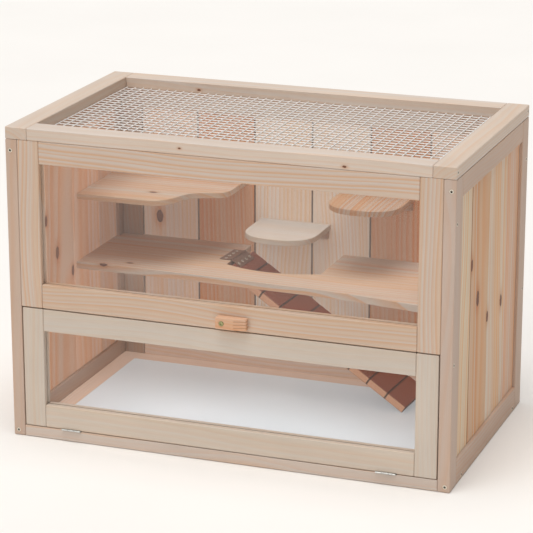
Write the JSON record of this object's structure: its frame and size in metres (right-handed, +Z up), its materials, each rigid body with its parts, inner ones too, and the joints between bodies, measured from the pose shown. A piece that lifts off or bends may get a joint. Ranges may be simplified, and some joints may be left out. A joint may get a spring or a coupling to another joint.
{
  "type": "hamster cage",
  "caption": "Two-storey softwood hamster cage with a fold-down acrylic door, fixed window, wire mesh lid, shelves, platforms and a hinged ramp.",
  "frame": {"origin": "on the resting plane under the middle of the bounding box", "axes": "+X to the right along the long side seen from the door, +Y from the door to the back wall, +Z up"},
  "size_m": [0.6, 0.366, 0.42],
  "materials": {
    "fir_frame": "planed, unfinished",
    "fir_board": "planed, unfinished, knotty",
    "fir_shelf": "planed, unfinished",
    "ramp_wood": "dark stained, satin",
    "latch_wood": "planed, unfinished",
    "white_laminate": "satin melamine face",
    "clear_acrylic": "clear, glossy",
    "zinc_steel": "zinc plated"
  },
  "bodies": {
    "cage": {"post_front_left": "fir_frame", "post_front_right": "fir_frame", "post_back_left": "fir_frame", "post_back_right": "fir_frame", "side_left_top_rail": "fir_frame", "side_left_bottom_rail": "fir_frame", "side_right_top_rail": "fir_frame", "side_right_bottom_rail": "fir_frame", "back_stile_left": "fir_frame", "back_stile_right": "fir_frame", "back_top_rail": "fir_frame", "back_bottom_rail": "fir_frame", "base_rail_left": "fir_frame", "base_rail_right": "fir_frame", "base_rail_front": "fir_frame", "base_rail_back": "fir_frame", "front_bottom_rail": "fir_frame", "window_stile_left": "fir_frame", "window_stile_right": "fir_frame", "window_bottom_rail": "fir_frame", "window_top_rail": "fir_frame", "side_left_panel": "fir_board", "side_right_panel": "fir_board", "back_board_1": "fir_board", "back_board_2": "fir_board", "back_board_3": "fir_board", "back_board_4": "fir_board", "back_board_5": "fir_board", "back_board_6": "fir_board", "mid_shelf": "fir_shelf", "upper_shelf": "fir_shelf", "centre_platform": "fir_shelf", "centre_platform_cleat": "fir_shelf", "right_platform": "fir_shelf", "right_platform_cleat": "fir_shelf", "floor_board": "white_laminate", "window_pane": "clear_acrylic", "door_hinge_left_fixed_leaf": "zinc_steel", "door_hinge_right_fixed_leaf": "zinc_steel", "lid_hinge_left_fixed_leaf": "zinc_steel", "lid_hinge_right_fixed_leaf": "zinc_steel", "ramp_hinge_fixed_leaf": "zinc_steel", "latch_screw": "zinc_steel"},
    "door": {"door_stile_left": "fir_frame", "door_stile_right": "fir_frame", "door_bottom_rail": "fir_frame", "door_top_rail": "fir_frame", "door_pane": "clear_acrylic", "door_hinge_left_moving_leaf": "zinc_steel", "door_hinge_right_moving_leaf": "zinc_steel"},
    "latch": {"latch_block": "latch_wood"},
    "lid": {"lid_rail_left": "fir_frame", "lid_rail_right": "fir_frame", "lid_rail_front": "fir_frame", "lid_rail_back": "fir_frame", "lid_mesh": "zinc_steel", "lid_hinge_left_moving_leaf": "zinc_steel", "lid_hinge_right_moving_leaf": "zinc_steel"},
    "ramp": {"ramp_board": "ramp_wood", "ramp_hinge_moving_leaf": "zinc_steel"}
  },
  "joints": [
    {"name": "door_hinge", "type": "hinge", "parent": "cage", "child": "door", "pos_m": [0, -0.1726, 0.0155], "axis": [1, 0, 0], "range_deg": [0, 95]},
    {"name": "latch_turn", "type": "hinge", "parent": "cage", "child": "latch", "pos_m": [0, -0.1715, 0.192], "axis": [0, 1, 0], "range_deg": [0, 90]},
    {"name": "lid_hinge", "type": "hinge", "parent": "cage", "child": "lid", "pos_m": [0, 0.1812, 0.40385], "axis": [-1, 0, 0], "range_deg": [0, 180]},
    {"name": "ramp_hinge", "type": "hinge", "parent": "cage", "child": "ramp", "pos_m": [-0.0885, 0.111, 0.1902], "axis": [0.0593, 0.9982, 0], "range_deg": [-26, 0]}
  ]
}
